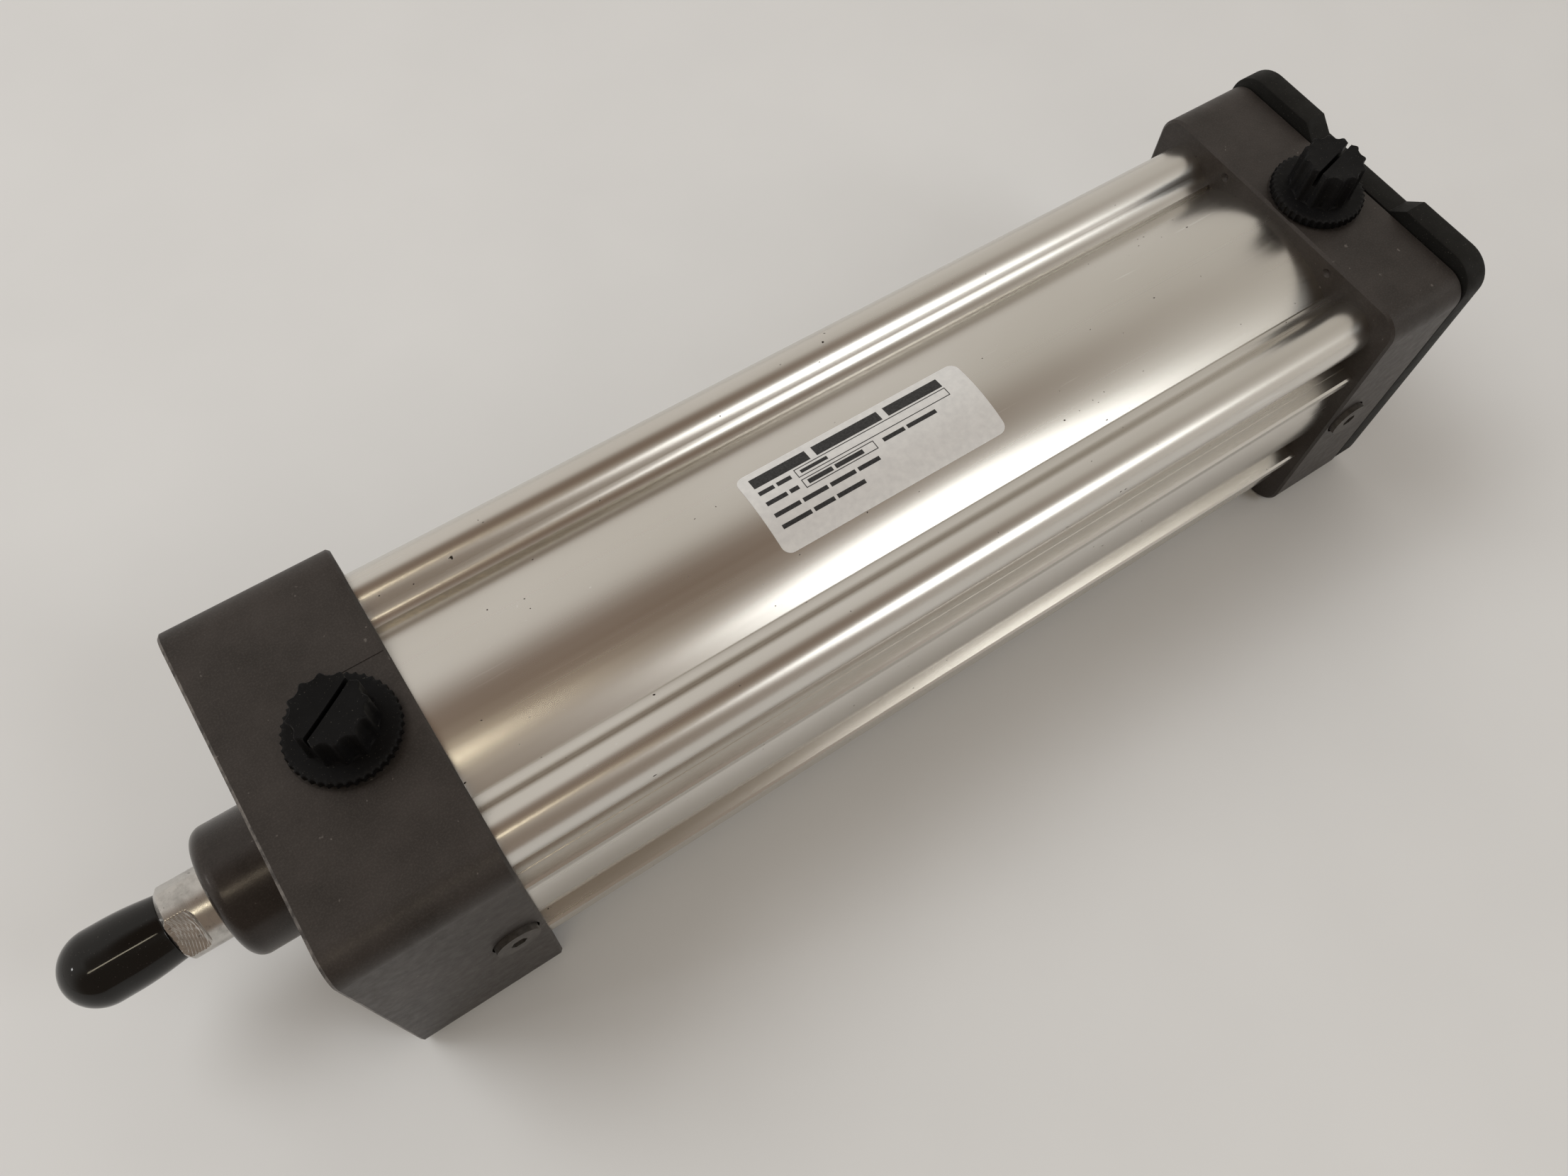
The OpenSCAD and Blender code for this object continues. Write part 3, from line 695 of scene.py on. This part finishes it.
def add_world():
    """Soft grey room light: bright walls, a dark ceiling overhead and a dark corner on the near left."""
    world = bpy.data.worlds.new("studio")
    bpy.context.scene.world = world
    world.use_nodes = True
    tree = world.node_tree

    def patch(towards, edge, core):
        """1 in the middle of a round patch of the room, 0 outside it; edge and core are angles in degrees."""
        dot = tree.nodes.new("ShaderNodeVectorMath")
        dot.operation = "DOT_PRODUCT"
        tree.links.new(place, dot.inputs[0])
        dot.inputs[1].default_value = Vector(towards).normalized()
        fade = tree.nodes.new("ShaderNodeMapRange")
        fade.interpolation_type = "SMOOTHSTEP"
        tree.links.new(dot.outputs["Value"], fade.inputs["Value"])
        fade.inputs["From Min"].default_value = math.cos(math.radians(edge))
        fade.inputs["From Max"].default_value = math.cos(math.radians(core))
        return fade.outputs["Result"]

    def blend(fac, a, b):
        mix = tree.nodes.new("ShaderNodeMix")
        mix.data_type = "RGBA"
        tree.links.new(fac, mix.inputs[0])
        for socket, value in ((mix.inputs[6], a), (mix.inputs[7], b)):
            if isinstance(value, bpy.types.NodeSocket):
                tree.links.new(value, socket)
            else:
                socket.default_value = (*value, 1)
        return mix.outputs[2]

    place = tree.nodes.new("ShaderNodeTexCoord").outputs["Generated"]
    room = blend(patch((1.0, 0.0, 0.5), 70, 20), WALL, SIDE_WALL)
    room = blend(patch((-0.5, -1.0, 0.5), 66, 26), room, CORNER)
    room = blend(patch((0.10, -0.02, 1.0), 35, 10), room, CEILING)
    tree.links.new(room, tree.nodes["Background"].inputs["Color"])


def add_light():
    add_world()
    centre = (0.14, 0.0, 0.0)
    # a window over the near right, a key lamp from the far left, a warm ceiling strip along X, a small low lamp
    area_light("window", (0.74, -0.90, 1.02), centre, 0.46, 0.62, 2.7, (0.98, 1.0, 1.0))
    key = area_light("key", (-0.67, 0.81, 1.64), centre, 1.0, 1.0, 14.5, (0.99, 1.0, 1.0))
    # the key lights and shadows, but is not mirrored in the glossy parts
    key.visible_glossy = False
    area_light("strip", (-0.42, -0.62, 1.70), (-0.42, 0.0, 0.0), 0.9, 0.09, 2.2, (1.0, 0.90, 0.68))
    area_light("lamp", (-1.13, 0.34, 0.73), (0.0, 0.0, 0.0), 0.10, 0.10, 0.5)


# ---------------------------------------------------------------- build

add_camera()
add_stage()
add_light()

dark_head = hard_anodised()
rear_anodised = hard_anodised("hard_anodised_unworn", 0.0)
bright_tube = clear_anodised()
steel = turned_steel("rod_steel")
oxide = black_oxide()
plug_black = dull_black("plug_black", (0.0040, 0.0040, 0.0043), 0.50, 0.00003, 0.12)
plug_worn = dull_black("plug_worn", (0.11, 0.105, 0.095), 0.50, 0.00003)
plate_black = dull_black("plate_black", (0.0048, 0.0047, 0.0042), 0.60, 0.00004)
rubber = dull_black("seal_rubber", (0.012, 0.012, 0.012), 0.58, 0.00002)
bronze = plain("bearing_bronze", (0.42, 0.27, 0.11), (0.58, 0.40, 0.19), 0.34, 1.0)
green = plain("cushion_seal", (0.02, 0.10, 0.06), (0.03, 0.14, 0.08), 0.5, 0.0)
machined = plain("machined_aluminium", (0.60, 0.60, 0.60), (0.74, 0.74, 0.73), 0.30, 1.0, 1500)
band = plain("wear_band", (0.20, 0.12, 0.06), (0.30, 0.19, 0.10), 0.55, 0.1)
magnet = plain("bonded_magnet", (0.05, 0.045, 0.045), (0.09, 0.085, 0.08), 0.6, 0.2)
dark_screw = plain("needle_plated", (0.045, 0.040, 0.036), (0.080, 0.072, 0.065), 0.48, 0.3)

dress("front_head", dark_head)
dress("rear_head", rear_anodised)
dress("rod_gland", hard_anodised("hard_anodised_turned", 0.0, (0.22, 0.29), 0.4))
dress("profile_tube", bright_tube)
for node in ("front_head_screws", "rear_head_screws", "rear_plate_screws"):
    dress(node, oxide, 0.25 * MM)
for node in ("rod_seal", "rod_wiper", "head_o_rings", "piston_seals"):
    dress(node, rubber)
for node in ("front_cushion_screw", "rear_cushion_screw"):
    dress(node, dark_screw, 0.3 * MM)
dress("rod_bushing", bronze)
dress("cushion_seals", green)
dress("piston", machined)
dress("piston_wear_band", band)
dress("piston_magnet", magnet)
dress("front_cushion_sleeve", steel)
dress("rear_cushion_spear", steel)

# the flat's steel is tinted dark brown as painted shade for the darker room it faces; its rings, pits, stains and
# cutter marks are real
make_rod(steel, turned_steel("milled_flat_painted_shade", (0.17, 0.135, 0.10), 0.30, 0.42))
make_thread_cap(vinyl())
make_plug("front_port_plug", "front_plug", math.radians(31), [plug_black, plug_worn])
make_plug("rear_port_plug", "rear_plug", math.radians(14), [plug_black, plug_worn])
make_rear_plate(plate_black)
make_label(label_film(), ink())
